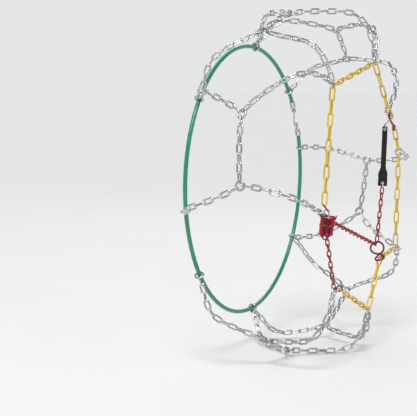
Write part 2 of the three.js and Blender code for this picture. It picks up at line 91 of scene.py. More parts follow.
RING_PLACES = [  # angle around the wheel, distance from the middle of the tread
    (3.1, -16), (25.2, -4), (62.4, 18), (79.6, 4), (115, -5), (132.5, 3),
    (176, -6), (195.6, 5), (229, -4), (248.6, 3), (281.5, 3), (299, 5),
]
OUTER_JUNCTIONS = {  # angle around the wheel, distance from the axle
    "front": (50.6, 236), "top": (105, 232.5), "rear": (215.6, 243.5), "low": (260, 246.5),
    "hook": (140.8, 194.4), "ring": (167, 217), "tail": (307.3, 216), "lock": (-9.9, 200),
}
LOCK_LINK = (-7.3, 187.5)  # where the yellow chain comes down to the lock
CABLE_TIES = {  # angles where the inner branches reach the cable
    "front": 38, "top": 97, "rear": 212, "low": 265, "hook": 139, "ring": 169, "tail": 322, "lock": -8.5,
}
FORKS = {  # the two tread rings of a fork, and how early each of its outer legs turns
    "front": ((2, 0.78), (3, 0.55)), "top": ((4, 0.7), (5, 0.7)),
    "rear": ((8, 0.7), (9, 0.7)), "low": ((10, 0.7), (11, 0.7)),
}
SINGLES = {"hook": (6, 1.6), "ring": (7, 2.4), "tail": (12, 1), "lock": (1, 1.9)}
INNER_BEND = 0.8

HOOK_EYE = Vector((175.5, -114.5, 99))
HOOK = Sizes(length=34.5, crook=5.5, wire=4.4, eye_radius=4.6)
HOOK_AXIS = Vector((-0.72, 0, 0.69)).normalized()
HOOK_BAR = HOOK_EYE + HOOK_AXIS * HOOK.length  # the yellow bar that the hook holds
END_LINK = Sizes(length=27, width=12, wire=3)

LOCK = Sizes(centre=(-179, -115.3, -60), yaw=-60, roll=7,
             width=24, depth=12, height=34, sheet=1.6, lip=5.4)
LOCK_TOP = 19
LOCK_BOTTOM = LOCK_TOP - LOCK.height
SHACKLE = Sizes(x=-3.5, z=15.5, reach=4.2, rise=12, wire=2.8)
SHACKLE_SQUASH = 0.8  # the shackle's bow is this much flatter than a half circle
PAWL_Z = 1
WINDOW = Sizes(width=7, low=3.5, high=13)  # in the right wall, where the tension chain comes in
PIN_Y = -1
PIN_RADIUS = 1.2

RING_CENTRE = Vector((90.4, -113, -131))
STRAP_TOP = Vector((109, -118.9, 104))
STRAP_BOTTOM = Vector((101.7, -117.7, -11))
STRAP = Sizes(width=10, block_width=18, thickness=5,
              hole_radius=3.2, hole_inset=5.5, ring_inset=1.2)

FERRULE = Sizes(radius=5.6, length=15)
CABLE_GAP = (145, 162.5)  # angles of the two ends of the cable
CABLE_EYE_RADIUS = 5.2
CABLE_HOOK = Sizes(crook=4.2, wire=3.2, eye_radius=3.8)

# ---- places on the wheel


def on_wheel(angle, radius, y):
    turn = radians(angle)
    return Vector((-radius * cos(turn), y, radius * sin(turn)))


def outward(angle):
    """The direction away from the axle."""
    return on_wheel(angle, 1, 0)


def onward(angle):
    """The direction around the wheel in which the angles grow."""
    turn = radians(angle)
    return Vector((sin(turn), 0, cos(turn)))


def junction(name):
    angle, radius = OUTER_JUNCTIONS[name]
    return on_wheel(angle, radius, OUTER_SIDE)


def step_from(start, towards, distance):
    return start + (towards - start).normalized() * distance


def aimed(position, up, side):
    """The matrix that stands a shape's own Z along `up` and turns its X as near `side` as it can."""
    z = up.normalized()
    y = z.cross(side).normalized()
    x = y.cross(z)
    return Matrix.Translation(position) @ Matrix((x, y, z)).transposed().to_4x4()


# ---- meshes

PLAIN_TINT = 0.5
PLAIN_WEAR = 0.25
WELD_BULGE = 0.13  # share of a ring's wire


class Shape:
    """The points and faces of a piece, and two numbers for each point that its material reads: the tint of
    the link that it belongs to, and how far its surface is worn."""

    def __init__(self):
        self.points = []
        self.faces = []
        self.tints = []
        self.wears = []

    def add_rows(self, rows, closed=False, tint=PLAIN_TINT, wears=None):
        """Joins rows of section points into a tube. An open tube gets flat ends."""
        start = len(self.points)
        sides = len(rows[0])
        for index, row in enumerate(rows):
            self.points += row
            self.tints += [tint] * sides
            self.wears += [wears[index] if wears else PLAIN_WEAR] * sides
        for index in range(len(rows) if closed else len(rows) - 1):
            this = start + index * sides
            following = start + (index + 1) % len(rows) * sides
            for k in range(sides):
                after = (k + 1) % sides
                self.faces.append((this + k, this + after, following + after, following + k))
        if not closed:
            last = len(self.points) - sides
            self.faces += [tuple(range(start, start + sides)), tuple(reversed(range(last, last + sides)))]

    def mesh(self, name):
        mesh = bpy.data.meshes.new(name)
        mesh.from_pydata(self.points, [], self.faces)
        for label, values in (("tint", self.tints), ("wear", self.wears)):
            mesh.attributes.new(label, "FLOAT", "POINT").data.foreach_set("value", values)
        return mesh


def curve_through(points, steps, closed=False):
    """A smooth Catmull-Rom curve through the points."""
    count = len(points)
    curve = []
    for i in range(count if closed else count - 1):
        p1, p2 = points[i], points[(i + 1) % count]
        p0 = points[i - 1] if closed or i else p1 * 2 - p2
        p3 = points[(i + 2) % count] if closed or i < count - 2 else p2 * 2 - p1
        for step in range(steps):
            t = step / steps
            curve.append(0.5 * (2 * p1 + (p2 - p0) * t + (2 * p0 - 5 * p1 + 4 * p2 - p3) * t**2
                                + (3 * p1 - p0 - 3 * p2 + p3) * t**3))
    if not closed:
        curve.append(points[-1].copy())
    return curve


def sections(path, closed):
    """Two sideways directions at each point of a path, which turn as little as they can."""
    count = len(path)
    tangents = []
    for i in range(count):
        before = path[i - 1] if closed or i else path[i]
        after = path[(i + 1) % count] if closed or i < count - 1 else path[i]
        tangents.append((after - before).normalized())
    side = tangents[0].orthogonal().normalized()
    sides = []
    for tangent in tangents:
        side = (side - tangent * side.dot(tangent)).normalized()
        sides.append(side)
    left_over = 0
    if closed:
        back = (side - tangents[0] * side.dot(tangents[0])).normalized()
        left_over = atan2(sides[0].cross(back).dot(tangents[0]), sides[0].dot(back))
    found = []
    for i, (tangent, side) in enumerate(zip(tangents, sides)):
        side = Quaternion(tangent, -left_over * i / count) @ side
        found.append((side, tangent.cross(side), tangent))
    return found


def turns(count):
    """The angles of one full turn in that many steps."""
    return [2 * pi * k / count for k in range(count)]


def circle_row(centre, side, up, radius, sides):
    return [centre + side * (radius * cos(t)) + up * (radius * sin(t)) for t in turns(sides)]


def arc(centre, radius, start, end, steps):
    """Places in a plane on an arc between two angles in degrees."""
    angles = (radians(start + (end - start) * i / steps) for i in range(steps + 1))
    return [(centre[0] + radius * cos(t), centre[1] + radius * sin(t)) for t in angles]


def bow(radius, height, start, end, steps, squash=1):
    """The round of a hook in the XZ plane, with its centre at that height."""
    return [Vector((x, 0, height + z * squash)) for x, z in arc((0, 0), radius, start, end, steps)]


def mirrored(points):
    return [(-x, y) for x, y in reversed(points)]


def add_wire(shape, path, wire, closed=False, sides=12, radii=None, tint=PLAIN_TINT):
    """A round wire of that thickness along a path, with rounded tips where it is open."""
    radii = radii or [wire / 2] * len(path)
    frames = sections(path, closed)
    rows = [circle_row(p, side, up, r, sides) for p, (side, up, _), r in zip(path, frames, radii)]
    if not closed:
        for end in (0, -1):
            side, up, tangent = frames[end]
            for lean in (35, 62, 82):
                reach = radii[end] * sin(radians(lean)) * (1 if end else -1)
                tip = radii[end] * cos(radians(lean))
                row = circle_row(path[end] + tangent * reach, side, up, tip, sides)
                rows = rows + [row] if end else [row] + rows
    shape.add_rows(rows, closed, tint)


def add_ring(shape, centre, normal, radius, wire, steps=44, sides=14, weld_at=0.3):
    """A closed wire ring with the slight swelling of its weld."""
    side = normal.orthogonal().normalized()
    up = normal.normalized().cross(side)
    path = circle_row(centre, side, up, radius, steps)
    radii = []
    for k in range(steps):
        away = (k / steps - weld_at + 0.5) % 1 - 0.5
        radii.append(wire / 2 * (1 + WELD_BULGE * exp(-((away / 0.022) ** 2))))
    add_wire(shape, path, wire, closed=True, sides=sides, radii=radii, tint=rng.random())


def add_turned(shape, start, end, profile, sides=24):
    """A turned part on the line from start to end. Its profile lists distances from the start and radii."""
    axis = (end - start).normalized()
    side = axis.orthogonal().normalized()
    up = axis.cross(side)
    rows = [circle_row(start + axis * along, side, up, radius, sides) for along, radius in profile]
    shape.add_rows(rows)


def ring_shape(centre, normal, size, weld_at=0.3):
    shape = Shape()
    add_ring(shape, centre, normal, size.radius, size.wire, weld_at=weld_at)
    return shape


# ---- sheet and moulded parts


def prism(outline, low, high, axes):
    """A straight bar. Its outline is drawn in two named axes, and it runs from low to high in the third."""
    order = [axes.find(axis) for axis in "xyz"]  # the axis that isn't named gets -1, the last of the three
    shape = Shape()
    shape.add_rows([[Vector([(u, v, level)[k] for k in order]) for u, v in outline] for level in (low, high)])
    return solid(shape)


def round_bar(radius, low, high, centre, axis, sides=28):
    """A round bar along one axis, through the given point of the other two."""
    outline = arc(centre, radius, 0, 360, sides)[:-1]
    return prism(outline, low, high, "xyz".replace(axis, ""))


def new_object(name, data):
    made = bpy.data.objects.new(name, data)
    bpy.context.scene.collection.objects.link(made)
    return made


def solid(shape):
    """A shape as an object that modifiers can work on."""
    mesh = shape.mesh("work")
    outward_faces(mesh)
    return new_object("work", mesh)


def outward_faces(mesh):
    work = bmesh.new()
    work.from_mesh(mesh)
    bmesh.ops.recalc_face_normals(work, faces=work.faces)
    work.to_mesh(mesh)
    work.free()


def apply_modifiers(work):
    bpy.context.view_layer.update()
    shown = work.evaluated_get(bpy.context.evaluated_depsgraph_get())
    mesh = bpy.data.meshes.new_from_object(shown)
    work.modifiers.clear()
    work.data = mesh


def combine(work, operation, *tools):
    for tool in tools:
        modifier = work.modifiers.new("combine", "BOOLEAN")
        modifier.operation = operation
        modifier.solver = "EXACT"
        modifier.object = tool
    apply_modifiers(work)
    for tool in tools:
        bpy.data.objects.remove(tool)


def round_edges(work, width):
    modifier = work.modifiers.new("edges", "BEVEL")
    modifier.width = width
    modifier.segments = 2
    modifier.limit_method = "ANGLE"
    modifier.angle_limit = radians(35)
    apply_modifiers(work)


# ---- pieces


def finish(name, shape, look, *stands_for, body="chain", matrix=None, sharp_over=None):
    """Makes a piece of a shape or a worked object, in metres, hangs it on its body and hides the CAD parts
    that it stands for.
    """
    mesh = shape.mesh(name) if isinstance(shape, Shape) else shape.data
    if not isinstance(shape, Shape):
        bpy.data.objects.remove(shape)
    mesh.name = name
    mesh.transform(Matrix.Diagonal((MM, MM, MM, 1)) @ (matrix or Matrix.Identity(4)))
    outward_faces(mesh)
    mesh.shade_smooth()
    if sharp_over:
        mesh.set_sharp_from_angle(angle=radians(sharp_over))
    mesh.materials.clear()
    mesh.materials.append(materials[look])
    piece = new_object(name, mesh)
    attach(piece, body)
    if stands_for:
        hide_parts(*stands_for)


# ---- materials


class Paint:
    """A material's nodes, with short ways to make and join them."""

    def __init__(self, name):
        self.material = bpy.data.materials.new(name)
        self.material.use_nodes = True
        self.tree = self.material.node_tree
        self.shader = self.tree.nodes["Principled BSDF"]
        self.place = self.made("ShaderNodeTexCoord", "Object", {})

    def feed(self, socket, value):
        if isinstance(value, bpy.types.NodeSocket):
            self.tree.links.new(value, socket)
        else:
            socket.default_value = value

    def made(self, kind, output, inputs, **settings):
        """An output of a new node, with that node's inputs and settings given by name."""
        node = self.tree.nodes.new(kind)
        for label, value in settings.items():
            setattr(node, label, value)
        for label, value in inputs.items():
            self.feed(node.inputs[label], value)
        return node.outputs[output]

    def noise(self, scale, detail=3, roughness=0.55, distortion=0.0):
        return self.made("ShaderNodeTexNoise", "Fac", {
            "Vector": self.place, "Scale": scale, "Detail": detail,
            "Roughness": roughness, "Distortion": distortion})

    def attribute(self, label):
        return self.made("ShaderNodeAttribute", "Fac", {}, attribute_name=label)

    def ranged(self, value, low, high, to_low=0.0, to_high=1.0):
        return self.made("ShaderNodeMapRange", "Result", {
            "Value": value, "From Min": low, "From Max": high, "To Min": to_low, "To Max": to_high})

    def clouded(self, scale, tint_share):
        """Slow clouds, shifted by each link's own tint."""
        cloud = self.noise(scale, 4)
        return self.math("ADD", cloud, self.math("MULTIPLY", self.attribute("tint"), tint_share))

    def math(self, operation, a, b):
        return self.made("ShaderNodeMath", "Value", {0: a, 1: b}, operation=operation)

    def mixed(self, factor, a, b):
        a, b = ((*colour, 1) if isinstance(colour, tuple) else colour for colour in (a, b))
        return self.made("ShaderNodeMix", "Result", {"Factor": factor, "A": a, "B": b}, data_type="RGBA")

    def bumped(self, height, distance_mm, strength=1.0):
        self.set("Normal", self.made("ShaderNodeBump", "Normal", {
            "Strength": strength, "Distance": distance_mm * MM, "Height": height}))

    def set(self, label, value):
        self.feed(self.shader.inputs[label], value)


def zinc_plate(name):
    """Bright galvanised steel: cloudy, faintly grained, and polished where links rub on each other."""
    paint = Paint(name)
    cloud = paint.clouded(70, 0.35)
    tone = paint.mixed(paint.ranged(cloud, 0.35, 0.95), (0.34, 0.35, 0.37), (0.62, 0.63, 0.64))
    rubbed = paint.ranged(paint.attribute("wear"), 0.5, 1.0)
    grime = paint.ranged(paint.noise(260, 5, 0.7), 0.62, 0.78, 0.0, 0.55)
    tone = paint.mixed(grime, tone, (0.20, 0.19, 0.18))
    paint.set("Base Color", paint.mixed(rubbed, tone, (0.80, 0.80, 0.79)))
    paint.set("Metallic", 1.0)
    grain = paint.noise(1100, 3, 0.6)
    dull = paint.ranged(grain, 0.3, 0.7, 0.16, 0.32)
    dull = paint.math("ADD", dull, paint.ranged(cloud, 0.4, 0.9, 0.06, -0.04))
    paint.set("Roughness", paint.math("SUBTRACT", dull, paint.math("MULTIPLY", rubbed, 0.07)))
    paint.bumped(paint.math("ADD", grain, paint.noise(300, 2)), 0.06, 0.5)
    return paint.material


def coated_steel(name, fresh, deep, bare, metallic, wear_from):
    """Steel with a thin colour on it that is rubbed through where links meet."""
    paint = Paint(name)
    cloud = paint.clouded(90, 0.3)
    colour = paint.mixed(paint.ranged(cloud, 0.35, 0.9), deep, fresh)
    patches = paint.ranged(paint.noise(420, 4, 0.65), 0.3, 0.7)
    patches = paint.math("MULTIPLY", paint.attribute("wear"), patches)
    worn = paint.ranged(patches, wear_from, wear_from + 0.22)
    specks = paint.ranged(paint.noise(800, 2), 0.7, 0.76, 0.0, 0.5)
    paint.set("Base Color", paint.mixed(specks, paint.mixed(worn, colour, bare), bare))
    paint.set("Metallic", paint.ranged(worn, 0.0, 1.0, metallic, 0.9))
    orange_peel = paint.noise(650, 2)
    paint.set("Roughness", paint.ranged(paint.noise(500, 3), 0.3, 0.7, 0.27, 0.44))
    paint.set("Coat Weight", 0.2)
    paint.set("Coat Roughness", 0.16)
    paint.set("Specular IOR Level", 0.35)
    paint.bumped(paint.math("SUBTRACT", orange_peel, paint.math("MULTIPLY", worn, 0.8)), 0.07, 0.6)
    return paint.material


def black_rubber(name):
    paint = Paint(name)
    cloud = paint.noise(55, 4)
    dust = paint.ranged(paint.noise(900, 4, 0.7), 0.58, 0.75, 0.0, 0.35)
    colour = paint.mixed(cloud, (0.006, 0.006, 0.007), (0.013, 0.013, 0.014))
    paint.set("Base Color", paint.mixed(dust, colour, (0.04, 0.04, 0.042)))
    paint.set("Roughness", paint.ranged(paint.noise(300, 3), 0.3, 0.7, 0.46, 0.7))
    paint.set("Specular IOR Level", 0.25)
    paint.set("Sheen Weight", 0.06)
    paint.set("Sheen Roughness", 0.5)
    paint.bumped(paint.math("ADD", paint.noise(1400, 3), paint.noise(220, 2)), 0.09, 0.55)
    return paint.material


def coated_cable(name):
    """Green plastic over a twisted wire cable."""
    paint = Paint(name)
    colour = paint.mixed(paint.noise(40, 4), (0.003, 0.19, 0.085), (0.008, 0.31, 0.145))
    scuffs = paint.ranged(paint.noise(480, 5, 0.7, 1.2), 0.6, 0.72, 0.0, 0.4)
    paint.set("Base Color", paint.mixed(scuffs, colour, (0.08, 0.38, 0.22)))
    paint.set("Roughness", paint.ranged(paint.noise(260, 3), 0.3, 0.7, 0.26, 0.42))
    paint.set("Coat Weight", 0.4)
    paint.set("Coat Roughness", 0.12)
    paint.bumped(paint.noise(700, 3), 0.05, 0.5)
    return paint.material


def pale_floor(name):
    paint = Paint(name)
    paint.set("Base Color", paint.mixed(paint.noise(3, 2), (0.84, 0.84, 0.84), (0.88, 0.88, 0.88)))
    paint.set("Roughness", paint.ranged(paint.noise(30, 2), 0.3, 0.7, 0.55, 0.65))
    return paint.material


COATS = {  # fresh colour, deep colour, bare metal under it, metallic, wear that rubs it through
    "yellow": ((0.84, 0.58, 0.02), (0.62, 0.39, 0.008), (0.36, 0.28, 0.15), 0.25, 0.52),
    "red": ((0.40, 0.006, 0.016), (0.26, 0.003, 0.010), (0.26, 0.19, 0.18), 0.15, 0.55),
    # painted shade: the same red coat made darker, for the thin rings and the pawl that sit in shade
    "dark_red": ((0.23, 0.004, 0.012), (0.13, 0.002, 0.008), (0.22, 0.17, 0.16), 0.15, 0.55),
}
materials = {"zinc": zinc_plate("zinc")}
for coat, look in COATS.items():
    materials[coat] = coated_steel(coat, *look)
materials["rubber"] = black_rubber("rubber")
materials["cable"] = coated_cable("cable")

# ---- chain

CORNER_STEPS = 5
LINK_SIDES = 10
WELD_LENGTH = 1.7
LINK_WELD_BULGE = 0.15
PULLED_SHARE = 0.35  # of a route's length, bent towards its end


def link_line(half_long, half_wide, corner):
    """A link's centre-line: for each point, its place along and across the link, and its way outward."""
    line = []
    for sign_along, sign_across, start in ((1, 1, 0), (-1, 1, 90), (-1, -1, 180), (1, -1, 270)):
        for step in range(CORNER_STEPS + 1):
            turn = radians(start + 90 * step / CORNER_STEPS)
            ahead, aside = cos(turn), sin(turn)
            line.append((sign_along * (half_long - corner) + corner * ahead,
                         sign_across * (half_wide - corner) + corner * aside, ahead, aside))
        if sign_along * sign_across > 0:
            straight = half_long - corner
            for share in (0.62, 0.25, 0.0, -0.25, -0.62):
                line.append((sign_along * share * straight, sign_across * half_wide, 0.0, sign_across))
    return [point for i, point in enumerate(line) if dist(point[:2], line[i - 1][:2]) > 0.01]


def add_link(shape, start, end, across, width, wire, twist=0, corner=None):
    """A welded link that its neighbours pull at start and end, with its width along `across`."""
    along = (end - start).normalized()
    across = (across - along * across.dot(along)).normalized()
    normal = along.cross(across)
    middle = (start + end) / 2
    radius = wire / 2
    half_long = (end - start).length / 2 + radius
    half_wide = width / 2 - radius
    rows, wears = [], []
    for x, y, ahead, aside in link_line(half_long, half_wide, min(half_wide, corner or half_wide)):
        lean = radians(twist) / 2 * x / half_long
        own_across = across * cos(lean) + normal * sin(lean)
        own_normal = normal * cos(lean) - across * sin(lean)
        weld = 1 + (LINK_WELD_BULGE * exp(-((x / WELD_LENGTH) ** 2)) if y < 0 else 0)
        centre = middle + along * x + own_across * y
        side = along * ahead + own_across * aside
        rows.append(circle_row(centre, side, own_normal, radius * weld, LINK_SIDES))
        wears.append(abs(x / half_long) ** 2)
    shape.add_rows(rows, closed=True, tint=rng.random(), wears=wears)


def distances_along(points):
    distances = [0.0]
    for a, b in zip(points, points[1:]):
        distances.append(distances[-1] + dist(a, b))
    return distances


def stretch_at(distances, distance):
    """The stretch of a line that a distance along it falls in, and the share of that stretch before it."""
    i = 1
    while i < len(distances) - 1 and distances[i] < distance:
        i += 1
    return i, (distance - distances[i - 1]) / (distances[i] - distances[i - 1])


class Route:
    """A line that a chain follows, with the direction away from what it lies on at each of its points."""

    def __init__(self, points, normals):
        self.points = points
        self.normals = normals
        self.distances = distances_along(points)
        self.length = self.distances[-1]

    def at(self, distance):
        i, share = stretch_at(self.distances, distance)
        point, normal = self.points[i - 1], self.normals[i - 1]
        return point.lerp(self.points[i], share), normal.lerp(self.normals[i], share)


def outer_route(points):
    """A route on the outer side of the wheel."""
    return Route(points, [-Y_AXIS] * len(points))


def straight_route(start, end):
    return outer_route([start.lerp(end, i / 12) for i in range(13)])


def pulled(route, end=None, end_normal=None):
    """The route with its last stretch bent to another end, and turned to another direction there."""
    points, normals = [], []
    for point, normal, distance in zip(route.points, route.normals, route.distances):
        weight = max(0.0, (distance / route.length - 1 + PULLED_SHARE) / PULLED_SHARE) ** 1.5
        points.append(point + (end - route.points[-1]) * weight if end else point)
        normals.append(normal.lerp(end_normal, weight) if end_normal else normal)
    return Route(points, normals)


def link_count(span, pitch, odd):
    count = max(1, round(span / pitch))
    if odd is not None and count % 2 != int(odd):
        count += 1 if span / pitch > count or count == 1 else -1
    return count


def lay_links(shape, route, gauge, odd=None, skip=0.0, stands=True, jitter=7):
    """Lays links along a route from `skip` to its end, which stand on the surface and lie flat by turns."""
    span = route.length - skip - gauge.wire
    count = link_count(span, gauge.pitch, odd)

    def place(links):
        return route.at(skip + gauge.wire / 2 + span * links / count)

    for i in range(count):
        start, end = place(i)[0], place(i + 1)[0]
        normal = place(i + 0.5)[1]
        along = (end - start).normalized()
        lying = along.cross(normal).normalized()
        standing = lying.cross(along)
        turn = radians(rng.uniform(-jitter, jitter) + gauge.leans[0 if stands else 1])
        across = standing * cos(turn) + lying * sin(turn)
        add_link(shape, start, end, across, gauge.width, gauge.wire, gauge.twist)
        stands = not stands


# ---- how a chain lies over the tire

SHOULDER = [  # half of the tire's section, as the middle of the chain follows it: distance out, distance up
    (0, TIRE_RADIUS + LIFT), (70, TIRE_RADIUS + LIFT - 0.5), (84, TIRE_RADIUS + 1.5), (95, TIRE_RADIUS - 7),
    (102.5, TIRE_RADIUS - 19), (108.5, TIRE_RADIUS - 36),
]
OUTER_SECTION = [*SHOULDER, (112.5, 262), (113.5, 245), (113.5, 180)]
TIE_HOLD = 5.6  # from the middle of the cable to the end of a branch, inside its tie ring
INNER_SECTION = [*SHOULDER, (114.5, 273), (CABLE.side, CABLE.hoop_radius + TIE_HOLD)]


def section_at(section, reach):
    i, share = stretch_at(distances_along(section), reach)
    return [a + share * (b - a) for a, b in zip(section[i - 1], section[i])]


def reach_at_radius(section, radius):
    """How far along a section the wall comes down to this distance from the axle."""
    reaches = distances_along(section)
    for i in range(3, len(section)):
        if section[i][1] <= radius:
            share = (section[i - 1][1] - radius) / (section[i - 1][1] - section[i][1])
            return reaches[i - 1] + share * (reaches[i] - reaches[i - 1])
    return reaches[-1]


def branch_route(ring, end_place, section, bend, end_shift=0.0, steps=40):
    """From a tread ring over the shoulder to a place on the side. It moves evenly across the tire's section,
    and turns around the wheel early where `bend` is under 1 and late where it is over 1."""
    side = -1 if section is OUTER_SECTION else 1
    ring_angle, ring_y = RING_PLACES[ring - 1]
    end_angle, end_radius = end_place
    start = ring_y * side
    end = reach_at_radius(section, end_radius)
    points, normals = [], []
    for i in range(steps + 1):
        t = i / steps
        reach = start + t * (end - start)
        out, up = section_at(section, abs(reach))
        angle = ring_angle + t**bend * (end_angle - ring_angle)
        points.append(on_wheel(angle, up, side * copysign(out, reach) + end_shift * t**3))
        ahead, behind = section_at(section, abs(reach) + 7), section_at(section, max(0.0, abs(reach) - 7))
        falls, widens = behind[1] - ahead[1], ahead[0] - behind[0]
        normals.append((outward(angle) * widens + Vector((0, side * falls, 0))).normalized())
    return Route(points, normals)


# From the middle of a tread ring to the end of a link in it.
RING_HOLD = TREAD_RING.radius - TREAD_RING.wire / 2 - TREAD_GAUGE.wire / 2


def branch_into(shape, ring, end_place, section, bend, odd=True, end_shift=0.0, end=None, end_normal=None):
    route = branch_route(ring, end_place, section, bend, end_shift)
    route = pulled(route, end, end_normal)
    lay_links(shape, route, TREAD_GAUGE, odd, skip=RING_HOLD)


def make_run(name, look, node, route, gauge, **how):
    """One stretch of chain as a piece of its own."""
    shape = Shape()
    lay_links(shape, route, gauge, **how)
    finish(name, shape, look, node)


def make_link(name, look, start, end, across, width, wire, *nodes):
    """One link as a piece of its own."""
    shape = Shape()
    add_link(shape, start, end, across, width, wire)
    finish(name, shape, look, *nodes)


def make_ring(name, look, node, centre, normal, size, weld_at):
    """A ring that turns as a body of its own."""
    finish(name, ring_shape(centre, normal, size, weld_at), look, node, body=node)


# ---- tread


def make_tread():
    for number, (angle, y) in enumerate(RING_PLACES, start=1):
        name = f"tread_ring_{number:02d}"
        centre = on_wheel(angle, TIRE_RADIUS + LIFT - 1, y)
        make_ring(f"ring_{number:02d}", "zinc", name, centre, outward(angle), TREAD_RING, rng.random())
    for pair in range(len(RING_PLACES) // 2):
        (from_angle, from_y), (to_angle, to_y) = RING_PLACES[2 * pair], RING_PLACES[2 * pair + 1]
        points, normals = [], []
        for i in range(13):
            t = i / 12
            angle = from_angle + t * (to_angle - from_angle)
            points.append(on_wheel(angle, TIRE_RADIUS + LIFT, from_y + t * (to_y - from_y)))
            normals.append(outward(angle))
        points[-1] = step_from(points[-1], points[-2], RING_HOLD)
        name, node = f"centre_links_{pair + 1}", f"centre_run_{pair + 1}"
        make_run(name, "zinc", node, Route(points, normals), TREAD_GAUGE, odd=True, skip=RING_HOLD)


# ---- forks

# The link that joins a fork to the yellow chain, and how far outside the junction its two ends are pulled.
FORK_LINK = Sizes(low=-1.0, high=9.6, width=14.4, wire=3.8)
LEG_SPREAD = 1.7  # a fork's two end links lie this far to either side of its middle
OUTER_LEG_END = 8.0


def add_inner_branch(shape, name, ring, end_shift=0.0):
    tie = (CABLE_TIES[name], CABLE.hoop_radius + TIE_HOLD)
    branch_into(shape, ring, tie, INNER_SECTION, INNER_BEND, odd=False, end_shift=end_shift)


def finish_branches(name, outer, inner):
    finish(f"outer_links_{name}", outer, "zinc", f"outer_branch_{name}")
    finish(f"inner_links_{name}", inner, "zinc", f"inner_branch_{name}")


def make_forks():
    for name, legs in FORKS.items():
        angle, radius = OUTER_JUNCTIONS[name]
        outer, inner = Shape(), Shape()
        for sign, (ring, bend) in zip((-1, 1), legs):
            outer_angle = angle + sign * degrees(LEG_SPREAD / radius)
            branch_into(outer, ring, (outer_angle, radius + OUTER_LEG_END), OUTER_SECTION, bend)
            add_inner_branch(inner, name, ring, sign * LEG_SPREAD)
        finish_branches(name, outer, inner)

        low = on_wheel(angle, radius + FORK_LINK.low, OUTER_SIDE - 0.3)
        high = on_wheel(angle, radius + FORK_LINK.high, OUTER_SIDE - 0.3)
        make_link(f"fork_link_{name}", "zinc", low, high, onward(angle), FORK_LINK.width, FORK_LINK.wire)


# ---- single branches

side_ring_normal = Vector((-0.866, -0.448, -0.21)).normalized()
tail_ring_normal = Vector((-0.9, -0.4, 0)).normalized()
tail_ring_centre = step_from(junction("tail"), junction("low"), 23)
tail_link_normal = Vector((-0.3, -1, 0)).normalized()
TAIL_LINK = Sizes(length=24, width=12, wire=3.4, reach=15.5)


def tail_direction():
    """From the low front junction down along its silver branch."""
    route = branch_route(SINGLES["tail"][0], OUTER_JUNCTIONS["tail"], OUTER_SECTION, 1, steps=9)
    return (route.points[7] - junction("tail")).normalized()


def rim_towards(normal, direction):
    """The direction in a ring's plane that is nearest to the given one."""
    return (direction - normal * direction.dot(normal)).normalized()


def held_by_ring(centre, normal, size, away, wire):
    """Where a link's end lies that is hooked on a ring and pulled away, and the ring's direction there."""
    rim = rim_towards(normal, away)
    return centre + rim * size.radius - away * (size.wire + wire) / 2, rim


def branch_ends():
    """For each single branch, where its last link is held and, on the ring, how this link is turned."""
    along_bar = (junction("top") - HOOK_BAR).normalized()
    beside_bar = HOOK_BAR + along_bar * 10.5 + Vector((0, 4.5, 0))
    ring_away = outward(OUTER_JUNCTIONS["ring"][0])
    tail_reach = TAIL_LINK.reach + TAIL_LINK.length / 2 - TAIL_LINK.wire - TREAD_GAUGE.wire / 2
    shackle_leg = in_lock(SHACKLE.x - SHACKLE.reach, PIN_Y, SHACKLE.z + 4.6)
    slack = 0.9  # lets the shackle swing inside the link
    beyond_leg = (SHACKLE.wire + TREAD_GAUGE.wire) / 2 + slack
    return {
        "hook": (beside_bar - outward(OUTER_JUNCTIONS["hook"][0]) * 3.1, None),
        "ring": held_by_ring(junction("ring"), side_ring_normal, SIDE_RING, ring_away, TREAD_GAUGE.wire),
        "tail": (junction("tail") + tail_direction() * tail_reach, None),
        "lock": (step_from(shackle_leg, junction("lock"), -beyond_leg), None),
    }


def make_singles():
    ends = branch_ends()
    for name, (ring, bend) in SINGLES.items():
        end, end_normal = ends[name]
        outer, inner = Shape(), Shape()
        branch_into(outer, ring, OUTER_JUNCTIONS[name], OUTER_SECTION, bend, end=end, end_normal=end_normal)
        add_inner_branch(inner, name, ring)
        finish_branches(name, outer, inner)


# ---- outer side chain

guide_normal = side_ring_normal
guide_down = rim_towards(guide_normal, Vector((0.3, -0.14, -0.94)))
guide_across = guide_down.cross(guide_normal)
guide_eye = RING_CENTRE + guide_down * GUIDE_RING.eye_reach


def beside_fork(name, sign):
    """The end of a yellow run in a fork's joining link, on its near or far side."""
    angle, radius = OUTER_JUNCTIONS[name]
    return on_wheel(angle, radius + 0.6, OUTER_SIDE) + onward(angle) * (sign * LEG_SPREAD)


def make_side_run(number, route, odd, stands=True):
    name, node = f"side_links_{number}", f"side_chain_{number}"
    make_run(name, "yellow", node, route, SIDE_GAUGE, odd=odd, stands=stands, jitter=5)


def on_side_ring(towards):
    """Where a yellow run that comes from `towards` is hooked on the side ring."""
    centre = junction("ring")
    rim = rim_towards(side_ring_normal, (towards - centre).normalized())
    return centre + rim * (SIDE_RING.radius - (SIDE_RING.wire + SIDE_GAUGE.wire) / 2)


